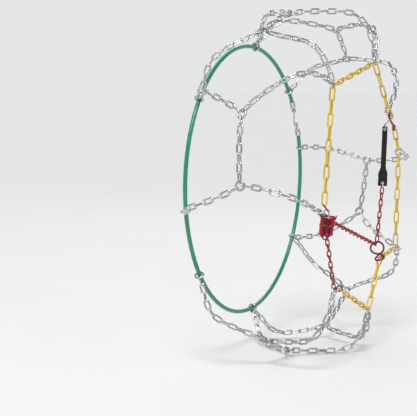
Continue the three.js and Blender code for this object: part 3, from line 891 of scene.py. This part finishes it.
def make_side_chain():
    lock_end = on_wheel(*LOCK_LINK, OUTER_SIDE)
    first = straight_route(beside_fork("front", -1), lock_end)
    make_side_run(1, pulled(first, end_normal=lock_across), odd=True)
    make_side_run(2, straight_route(beside_fork("front", 1), beside_fork("top", -1)), odd=True)

    towards_top = (beside_fork("top", 1) - HOOK_BAR).normalized()
    bar_end = HOOK_BAR + towards_top * (END_LINK.length - END_LINK.wire)
    shape = Shape()
    inside = bar_end - towards_top * SIDE_GAUGE.wire
    lay_links(shape, straight_route(beside_fork("top", 1), inside), SIDE_GAUGE, odd=False, jitter=5)
    near = HOOK_BAR + towards_top * END_LINK.wire / 2
    far = bar_end - towards_top * END_LINK.wire / 2
    add_link(shape, near, far, Y_AXIS, END_LINK.width, END_LINK.wire, corner=2.6)
    finish("side_links_3", shape, "yellow", "side_chain_3")

    eye_end = step_from(HOOK_EYE, junction("ring"), HOOK.eye_radius - (HOOK.wire + SIDE_GAUGE.wire) / 2)
    make_side_run(4, straight_route(eye_end, on_side_ring(HOOK_EYE)), odd=False)
    rear_run = straight_route(on_side_ring(junction("rear")), beside_fork("rear", -1))
    make_side_run(5, rear_run, odd=False, stands=False)

    rear, low = beside_fork("rear", 1), beside_fork("low", -1)
    corners = [rear, step_from(guide_eye, rear, 60), step_from(guide_eye, rear, 14), guide_eye,
               step_from(guide_eye, low, 14), step_from(guide_eye, low, 60), low]
    make_side_run(6, outer_route(curve_through(corners, 8)), odd=True)

    away = (junction("low") - tail_ring_centre).normalized()
    tail_end, rim = held_by_ring(tail_ring_centre, tail_ring_normal, TAIL_RING, away, SIDE_GAUGE.wire)
    last = straight_route(beside_fork("low", 1), tail_end)
    make_side_run(7, pulled(last, end_normal=rim), odd=True)


# ---- hooks


def open_hook(length, crook, wire, eye_radius):
    """A hook with a closed eye at its foot and a crook open to +X, in its own XZ plane."""
    foot = [Vector((0, 0, eye_radius - 0.2)), Vector((-crook * 0.25, 0, length * 0.4)),
            Vector((-crook * 0.85, 0, length * 0.75))]
    path = curve_through(foot + bow(crook, length, 175, 42, 7), 5)
    radii = [wire / 2 * (1 - 0.18 * (i / (len(path) - 1)) ** 6) for i in range(len(path))]
    shape = Shape()
    add_wire(shape, path, wire, radii=radii, sides=16)
    add_ring(shape, Vector((0, 0, 0)), Y_AXIS, eye_radius, wire, sides=16)
    return shape


def make_closing_hook():
    matrix = aimed(HOOK_EYE, HOOK_AXIS, Vector((0.69, 0, 0.72)))
    shape = open_hook(HOOK.length, HOOK.crook, HOOK.wire, HOOK.eye_radius)
    finish("closing_hook_wire", shape, "red", "closing_hook", body="closing_hook", matrix=matrix)


def make_side_rings():
    make_ring("side_ring_wire", "zinc", "side_ring", junction("ring"), side_ring_normal, SIDE_RING, 0.8)
    # the tail ring takes the red coat darkened as painted shade
    make_ring("tail_ring_wire", "dark_red", "tail_ring", tail_ring_centre, tail_ring_normal, TAIL_RING, 0.6)


# ---- tensioner

lock_yaw = Matrix.Rotation(radians(LOCK.yaw), 4, "Z")
lock_roll = Matrix.Rotation(radians(LOCK.roll), 4, "Y")
lock_matrix = Matrix.Translation(LOCK.centre) @ (lock_yaw @ lock_roll)
lock_across = (lock_matrix.to_3x3() @ X_AXIS).normalized()


def in_lock(x, y, z):
    return lock_matrix @ Vector((x, y, z))


def folded_channel():
    """The housing's section: a back, two walls and a short lip in front of each wall, with round folds."""
    half, deep, sheet = LOCK.width / 2, LOCK.depth / 2, LOCK.sheet
    outer, inner, lip = 2.4, 0.8, LOCK.lip
    right_outside = [(half - lip, -deep), *arc((half - outer, -deep + outer), outer, -90, 0, 4),
                     *arc((half - outer, deep - outer), outer, 0, 90, 4)]
    right_inside = [*arc((half - outer, deep - outer), inner, 90, 0, 3),
                    *arc((half - outer, -deep + outer), inner, 0, -90, 3), (half - lip, -deep + sheet)]
    return right_outside + mirrored(right_outside) + mirrored(right_inside) + right_inside


def make_lock_body():
    half, deep, sheet = LOCK.width / 2, LOCK.depth / 2, LOCK.sheet
    body = prism(folded_channel(), LOCK_BOTTOM, LOCK_TOP, "xy")
    tip = LOCK_BOTTOM - 10
    left = [(-half + 1.5, LOCK_BOTTOM + 2), (-half + 1, LOCK_BOTTOM), (-6.4, tip + 4.6)]
    tongue_outline = [*left, *arc((0, tip + 4.5), 4.5, 200, 340, 10), *mirrored(left)]
    tongue = prism(tongue_outline, deep - sheet, deep - 0.02, "xz")
    ear = prism([(half - 1.2, LOCK_TOP - 10), (half + 1.6, LOCK_TOP - 5), (half + 3.4, LOCK_TOP + 2.2),
                 (half + 1.8, LOCK_TOP + 2.4), (half - 0.6, LOCK_TOP - 2), (half - 2.4, LOCK_TOP - 3)],
                -deep + 0.6, -deep + 0.6 + sheet, "xz")
    combine(body, "UNION", tongue, ear)

    wide, low, high = WINDOW.width / 2, WINDOW.low, WINDOW.high
    window = prism([(-wide, low), (wide, low), (wide, high), (-wide, high)], half - 3, half + 3, "yz")
    tongue_hole = round_bar(2.4, deep - 3, deep + 2, (0, LOCK_BOTTOM - 5.5), "y")
    pin_holes = [round_bar(PIN_RADIUS + 0.25, -half - 3, half + 3, (PIN_Y, z), "x", 20)
                 for z in (SHACKLE.z, PAWL_Z)]
    front_slope = prism([(-deep - 2, LOCK_TOP + 1), (-deep - 2, LOCK_TOP - 5), (-deep + 4, LOCK_TOP + 1)],
                        -half - 2, half + 0.4, "yz")
    combine(body, "DIFFERENCE", window, tongue_hole, *pin_holes, front_slope)
    round_edges(body, 0.28)
    finish("lock_housing", body, "red", "lock_body", matrix=lock_matrix, sharp_over=50)


def make_shackle():
    reach, rise, z = SHACKLE.reach, SHACKLE.rise, SHACKLE.z
    middle = Vector((SHACKLE.x, PIN_Y, z))
    points = [Vector((-reach, 0, 1.5)), Vector((-reach, 0, rise - 3)),
              *bow(reach, rise - 2, 150, 30, 6, squash=SHACKLE_SQUASH),
              Vector((reach, 0, rise - 3)), Vector((reach, 0, 1.5))]
    shape = Shape()
    add_wire(shape, curve_through([middle + point for point in points], 5), SHACKLE.wire, sides=14)
    for x in (-reach - 0.75, -reach + 0.75, reach - 0.75, reach + 0.75):
        add_ring(shape, middle + Vector((x, 0, 0)), X_AXIS, 2.1, 1.6, steps=28, sides=10)
    finish("shackle_wire", shape, "zinc", "lock_shackle", body="lock_shackle", matrix=lock_matrix)


def headed_pin(z, left, right, head_radius):
    """A pin across the lock: a domed head at its left end and a peened right end."""
    length, thin = right - left, PIN_RADIUS
    profile = [(0, head_radius * 0.35), (0.25, head_radius * 0.75), (0.7, head_radius), (1.5, head_radius),
               (1.5, thin), (length - 1.1, thin), (length - 0.9, thin * 1.35),
               (length - 0.35, thin * 1.3), (length, thin * 0.6)]
    shape = Shape()
    add_turned(shape, Vector((left, PIN_Y, z)), Vector((right, PIN_Y, z)), profile)
    return shape


def make_pins():
    half = LOCK.width / 2
    for name, z, left, right, head_radius in (("shackle_pin", SHACKLE.z, 2.2, 1.5, 2.2),
                                              ("pawl_pin", PAWL_Z, 1.7, 0.8, 1.9)):
        shape = headed_pin(z, -half - left, half + right, head_radius)
        finish(f"{name}_turned", shape, "zinc", name, matrix=lock_matrix, sharp_over=40)


def make_pawl():
    outline = [(-3.2, -1.5), (-4.6, -8), (-3.2, -10.5)]
    start, end = Vector((-2.9, -10.2)), Vector((1.8, -3.2))
    out = Vector((end.y - start.y, start.x - end.x)).normalized()
    teeth = 4
    for i in range(teeth):
        root = start.lerp(end, (i + 0.15) / teeth)
        tip = start.lerp(end, (i + 0.85) / teeth) + out * 0.9
        outline += [tuple(root), tuple(tip)]
    outline += [(3.0, -1.0), *arc((0, 0), 3.1, -8, 150, 9), (-3.1, 1.0)]
    pawl = prism([(y + PIN_Y, z + PAWL_Z) for y, z in outline], -4, 4, "yz")
    combine(pawl, "DIFFERENCE", round_bar(PIN_RADIUS + 0.25, -6, 6, (PIN_Y, PAWL_Z), "x", 20))
    round_edges(pawl, 0.22)
    # the pawl takes the red coat darkened as painted shade
    finish("pawl_toothed", pawl, "dark_red", "lock_pawl",
           body="lock_pawl", matrix=lock_matrix, sharp_over=50)


def make_spring():
    """A wound torsion spring around the pawl's pin, with one leg on the housing's back."""
    coils, steps, radius, left, length = 3.5, 20, 2.1, 5.0, 2.9
    path = [Vector((left, 3.6, PAWL_Z - 5)), Vector((left, 2.2, PAWL_Z - 3))]
    for i in range(int(coils * steps) + 1):
        turn = 2 * pi * i / steps
        along = left + length * i / (coils * steps)
        path.append(Vector((along, PIN_Y + radius * cos(turn), PAWL_Z + radius * sin(turn))))
    shape = Shape()
    add_wire(shape, path, 0.7, sides=8)
    finish("spring_wound", shape, "zinc", "pawl_spring", matrix=lock_matrix)


def make_lock_link():
    """The red link between the shackle and the yellow chain."""
    top = SHACKLE.z + SHACKLE.rise - 2 + SHACKLE.reach * SHACKLE_SQUASH
    shackle_end = in_lock(SHACKLE.x, PIN_Y, top)
    yellow_end = on_wheel(*LOCK_LINK, OUTER_SIDE)
    low = step_from(shackle_end, yellow_end, -SHACKLE.wire / 2)
    high = step_from(yellow_end, shackle_end, -SIDE_GAUGE.wire / 2)
    make_link("lock_link", "red", low, high, lock_matrix.to_3x3() @ Y_AXIS, width=9.6, wire=2.6)


def make_tension_chain():
    lower_end = junction("tail") + tail_direction() * (
        TAIL_LINK.reach - TAIL_LINK.length / 2 + TAIL_LINK.wire + TENSION_GAUGE.wire / 2)
    lower = straight_route(in_lock(0, -4.4, LOCK_BOTTOM + 3), lower_end)
    make_run("tension_links_lower", "red", "tension_chain_lower", lower, TENSION_GAUGE, jitter=6)

    bend = RING_CENTRE - guide_down * 3.8 - guide_normal * 5
    start = in_lock(8.5, 0.6, (WINDOW.low + WINDOW.high) / 2)
    ring_low = STRAP_BOTTOM + strap_along * (STRAP.ring_inset - STRAP_RING.radius)
    end = ring_low + strap_along * (STRAP_RING.wire + TENSION_GAUGE.wire) / 2
    corners = [start, step_from(start, bend, 60), step_from(bend, start, 60), step_from(bend, start, 7),
               step_from(bend, end, 7), step_from(bend, end, 50), end]
    upper = outer_route(curve_through(corners, 8))
    make_run("tension_links_upper", "red", "tension_chain_upper", upper, TENSION_GAUGE, jitter=6)


def make_guide_ring():
    """One bent wire: a round loop whose ends cross under it and close in a small pear-shaped eye."""

    def place(across, down, rise):
        rises = guide_normal * (rise * GUIDE_RING.wire / 2)
        return RING_CENTRE + guide_across * across + guide_down * down + rises

    steps = 32
    loop = arc((0, 0), GUIDE_RING.radius, -78, 258, steps)
    half_eye = [(0.6, 14.2, 1), (4.2, 16.6, 0.9), (7.6, 19.8, 0.5), (8.3, 23.2, 0.1), (5.6, 25.6, 0)]
    other_half = [(-across, down, -rise) for across, down, rise in reversed(half_eye)]
    path = [place(across, -up, 2 * i / steps - 1) for i, (across, up) in enumerate(loop)]
    path += [place(*corner) for corner in (*half_eye, (0, 26.3, 0), *other_half)]
    shape = Shape()
    add_wire(shape, curve_through(path, 3, closed=True), GUIDE_RING.wire, closed=True, sides=14)
    # the guide ring takes the red coat darkened as painted shade
    finish("guide_ring_wire", shape, "dark_red", "guide_ring", body="guide_ring")


# ---- rubber strap

strap_along = (STRAP_TOP - STRAP_BOTTOM).normalized()
strap_length = (STRAP_TOP - STRAP_BOTTOM).length
strap_across = lock_yaw.to_3x3() @ X_AXIS
strap_matrix = aimed(STRAP_BOTTOM, strap_along, strap_across)


def strap_half_width(z):
    """Half of the strap's width: a block with two grooves at its foot, a taper, and a narrow band above."""
    block, band = STRAP.block_width / 2, STRAP.width / 2
    block_length, taper_length, groove_depth, groove_width = 22, 16, 0.45, 0.9
    if z < block_length:
        groove = max(exp(-((z - middle) / groove_width) ** 2) for middle in (13.5, 17.5))
        return block - groove_depth * groove
    blend = min(1.0, (z - block_length) / taper_length)
    return block + (band - block) * (3 * blend**2 - 2 * blend**3)


def make_strap():
    sides, roundness = 32, 3.4
    levels = [0, 0.35, 1.0, 2.0, 3.5]
    heights = levels + [3.5 + (strap_length - 7) * i / 110 for i in range(1, 110)]
    heights += [strap_length - level for level in reversed(levels)]
    rows = []
    for z in heights:
        from_end = min(z, strap_length - z, 3.5) / 3.5
        ending = sqrt(max(0.0, 1 - (1 - from_end) ** 2.4)) * 0.62 + 0.38
        wide = strap_half_width(z) * (0.8 + 0.2 * ending)
        bulge = 1 + 0.16 * exp(-(((z - 11) / 11) ** 2))
        thick = STRAP.thickness / 2 * bulge * ending
        row = []
        for turn in turns(sides):
            c, s = cos(turn), sin(turn)
            row.append(Vector((wide * copysign(abs(c) ** (2 / roundness), c),
                               thick * copysign(abs(s) ** (2 / roundness), s), z)))
        rows.append(row)
    shape = Shape()
    shape.add_rows(rows)
    strap = solid(shape)
    holes = [round_bar(STRAP.hole_radius, -6, 6, (0, z), "y")
             for z in (STRAP.hole_inset, strap_length - STRAP.hole_inset)]
    combine(strap, "DIFFERENCE", *holes)
    finish("strap_moulded", strap, "rubber", "rubber_strap", matrix=strap_matrix, sharp_over=45)


def make_strap_wires():
    ring_centre = STRAP_BOTTOM + strap_along * STRAP.ring_inset
    make_ring("strap_ring_wire", "zinc", "strap_ring", ring_centre, strap_across, STRAP_RING, 0.55)

    eye_centre = STRAP_TOP - strap_along * STRAP.ring_inset
    shape = ring_shape(eye_centre, strap_across, STRAP_RING, weld_at=0.1)
    foot = eye_centre + strap_along * STRAP_RING.radius
    catch = Vector((HOOK_BAR.x, eye_centre.y, HOOK_BAR.z))
    reach = catch - foot
    matrix = aimed(foot, reach, Vector((-reach.z, 0, reach.x)))
    crook, length = 4.2, reach.length
    points = [Vector((0, 0, 0)), Vector((-1.5, 0, length * 0.5)), *bow(crook, length, 195, 41, 7)]
    add_wire(shape, curve_through([matrix @ point for point in points], 5), 2.4)
    finish("strap_hook_wire", shape, "zinc", "strap_hook", body="strap_hook")


# ---- where the tension chain, the yellow chain and the lowest silver branch meet


def make_tail_links():
    tail = junction("tail")
    centre = tail + tail_direction() * TAIL_LINK.reach
    half = TAIL_LINK.length / 2 - TAIL_LINK.wire
    across = tail_link_normal.cross(tail_direction())
    make_link("tail_link_wire", "zinc", centre - tail_direction() * half, centre + tail_direction() * half,
              across, TAIL_LINK.width, TAIL_LINK.wire, "tail_link")

    near_side = centre - tail_direction() * 2 + rim_towards(tail_direction(), junction("low") - tail) * 4.4
    ring_hold = step_from(tail_ring_centre, near_side, TAIL_RING.radius)
    start = step_from(near_side, ring_hold, -TAIL_LINK.wire / 2)
    end = step_from(ring_hold, near_side, -TAIL_RING.wire / 2)
    make_link("tail_small_link", "zinc", start, end, tail_ring_normal, width=8.6, wire=2.6)


# ---- inner cable


def cable_point(angle):
    return on_wheel(angle, CABLE.hoop_radius, CABLE.side)


hook_end = cable_point(CABLE_GAP[0])
eye_end = cable_point(CABLE_GAP[1])


def make_cable():
    """The coated cable, whose plastic follows the six strands of the rope inside it."""
    steps, sides, strands, lay = 420, 24, 6, 0.055
    sweep = 360 - (CABLE_GAP[1] - CABLE_GAP[0])
    rows = []
    for i in range(steps + 1):
        angle = CABLE_GAP[1] + sweep * i / steps
        centre = cable_point(angle)
        distance = radians(sweep * i / steps) * CABLE.hoop_radius
        row = []
        for turn in turns(sides):
            radius = CABLE.radius * (0.97 + 0.035 * cos(strands * turn - lay * strands * distance))
            out = outward(angle) * (radius * cos(turn))
            row.append(centre + out + Vector((0, radius * sin(turn), 0)))
        rows.append(row)
    shape = Shape()
    shape.add_rows(rows)
    finish("cable_coated", shape, "cable", "inner_cable")


def make_ferrules():
    """Steel sleeves pressed on the cable's ends, with two rolled grooves each."""
    radius, length = FERRULE.radius, FERRULE.length
    profile = [(0, radius * 0.78), (0.5, radius * 0.96), (1.2, radius)]
    for middle in (5, 10):
        profile += [(middle - 1.4, radius), (middle - 0.8, radius * 0.86),
                    (middle + 0.8, radius * 0.86), (middle + 1.4, radius)]
    profile += [(length - 1.2, radius), (length - 0.4, radius * 0.94), (length, radius * 0.74)]
    for name, start, end in (("hook", hook_end, eye_end), ("eye", eye_end, hook_end)):
        shape = Shape()
        add_turned(shape, step_from(start, end, -1), end, profile, sides=32)
        finish(f"ferrule_{name}", shape, "zinc", sharp_over=50)


def make_cable_coupling():
    wire = CABLE_HOOK.wire
    eye_reach = FERRULE.length + CABLE_EYE_RADIUS + wire / 2 + 0.4
    pivot_reach = FERRULE.length + CABLE_HOOK.eye_radius + wire / 2 + 0.4
    gap = (eye_end - hook_end).length
    eye_centre = step_from(eye_end, hook_end, eye_reach)
    shape = ring_shape(eye_centre, Y_AXIS, Sizes(radius=CABLE_EYE_RADIUS, wire=wire))
    neck = (FERRULE.length - 3, eye_reach - CABLE_EYE_RADIUS)
    add_wire(shape, [step_from(eye_end, hook_end, reach) for reach in neck], wire)
    finish("cable_eye_wire", shape, "zinc", "cable_eye")

    length = gap - pivot_reach - eye_reach - CABLE_EYE_RADIUS
    shape = open_hook(length, CABLE_HOOK.crook, wire, CABLE_HOOK.eye_radius)
    matrix = aimed(step_from(hook_end, eye_end, pivot_reach), eye_end - hook_end, -Y_AXIS)
    finish("cable_hook_wire", shape, "zinc", "cable_hook", body="cable_hook", matrix=matrix)

    # The staple that the hook's eye swings on, with its two legs in the ferrule.
    staple_wire, leg_end = 2.1, FERRULE.length - 3 - pivot_reach
    leg = [(3.1, leg_end), (3.2, -1.8), (2.4, -0.2)]
    corners = [matrix @ Vector((0, across, along)) for across, along in (*leg, (0, 0), *mirrored(leg))]
    shape = Shape()
    add_wire(shape, curve_through(corners, 5), staple_wire)
    finish("cable_hook_staple", shape, "zinc")


def make_ties():
    for name, angle in CABLE_TIES.items():
        centre = on_wheel(angle, CABLE.hoop_radius + 1.5, CABLE.side)
        shape = ring_shape(centre, onward(angle), TIE_RING, weld_at=rng.random())
        finish(f"cable_tie_{name}", shape, "zinc")


# ---- the room

CAMERA = Sizes(place=(-2.1449, -0.9027, 0.1936), azimuth=-62.6, elevation=6.0, lens=105.3)
LIGHTS = [  # name, kind, azimuth, elevation, distance in metres, strength, softness
    ("key", "AREA", -100, 42, 2.4, 9, {"shape": "DISK", "size": 1.0}),
    ("fill", "AREA", -10, 30, 2.8, 4, {"shape": "DISK", "size": 1.4}),
    ("back", "AREA", 110, 38, 2.8, 5, {"shape": "DISK", "size": 1.2}),
    ("sky_front", "SUN", -70, 58, 3.0, 2.12, {"angle": radians(24)}),
    ("sky_back", "SUN", 130, 50, 3.0, 0.82, {"angle": radians(60)}),
]
SKY_TONES = [(0.12, (0.78, 0.79, 0.80)), (0.45, (0.07, 0.072, 0.08))]  # rise of the direction, colour


def direction(azimuth, elevation):
    a, e = radians(azimuth), radians(elevation)
    return Vector((sin(a) * cos(e), -cos(a) * cos(e), sin(e)))


def look_back(thing, place, away):
    """Puts a lamp or the camera in a place, and aims it against the direction `away`."""
    thing.location = place
    thing.rotation_mode = "QUATERNION"
    thing.rotation_quaternion = away.to_track_quat("Z", "Y")


def make_floor():
    size = 40
    z = min(cad_box[0].z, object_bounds()[0].z) - 0.0005  # half a millimetre under the chain
    mesh = bpy.data.meshes.new("floor")
    corners = [(-size, -size, z), (size, -size, z), (size, size, z), (-size, size, z)]
    mesh.from_pydata(corners, [], [(0, 1, 2, 3)])
    mesh.materials.append(pale_floor("floor"))
    floor = new_object("floor", mesh)


def make_lights():
    """Soft lamps near the object, and a wide even light that reaches the far floor too."""
    for name, kind, azimuth, elevation, distance, strength, softness in LIGHTS:
        lamp = bpy.data.lights.new(name, kind)
        lamp.energy = strength
        for label, value in softness.items():
            setattr(lamp, label, value)
        away = direction(azimuth, elevation)
        look_back(new_object(name, lamp), away * distance, away)


def make_world():
    """Bright around the horizon and darker overhead, so that bare metal has something to reflect."""
    world = bpy.data.worlds.new("studio")
    bpy.context.scene.world = world
    world.use_nodes = True
    tree = world.node_tree
    place = tree.nodes.new("ShaderNodeTexCoord")
    parts = tree.nodes.new("ShaderNodeSeparateXYZ")
    ramp = tree.nodes.new("ShaderNodeValToRGB")
    for element, (height, colour) in zip(ramp.color_ramp.elements, SKY_TONES):
        element.position = height
        element.color = (*colour, 1)
    tree.links.new(place.outputs["Generated"], parts.inputs["Vector"])
    tree.links.new(parts.outputs["Z"], ramp.inputs["Fac"])
    tree.links.new(ramp.outputs["Color"], tree.nodes["Background"].inputs["Color"])
    tree.nodes["Background"].inputs["Strength"].default_value = 1.0


def make_camera():
    data = bpy.data.cameras.new("camera")
    data.lens = CAMERA.lens
    data.sensor_width = 36
    camera = new_object("camera", data)
    look_back(camera, CAMERA.place, direction(CAMERA.azimuth, CAMERA.elevation))
    bpy.context.scene.camera = camera


make_camera()
make_tread()
make_forks()
make_singles()
make_side_chain()
make_closing_hook()
make_side_rings()
make_lock_body()
make_shackle()
make_pins()
make_pawl()
make_spring()
make_lock_link()
make_tension_chain()
make_guide_ring()
make_strap()
make_strap_wires()
make_tail_links()
make_cable()
make_ferrules()
make_cable_coupling()
make_ties()
make_floor()
make_lights()
make_world()
bpy.context.scene.view_settings.view_transform = "Standard"
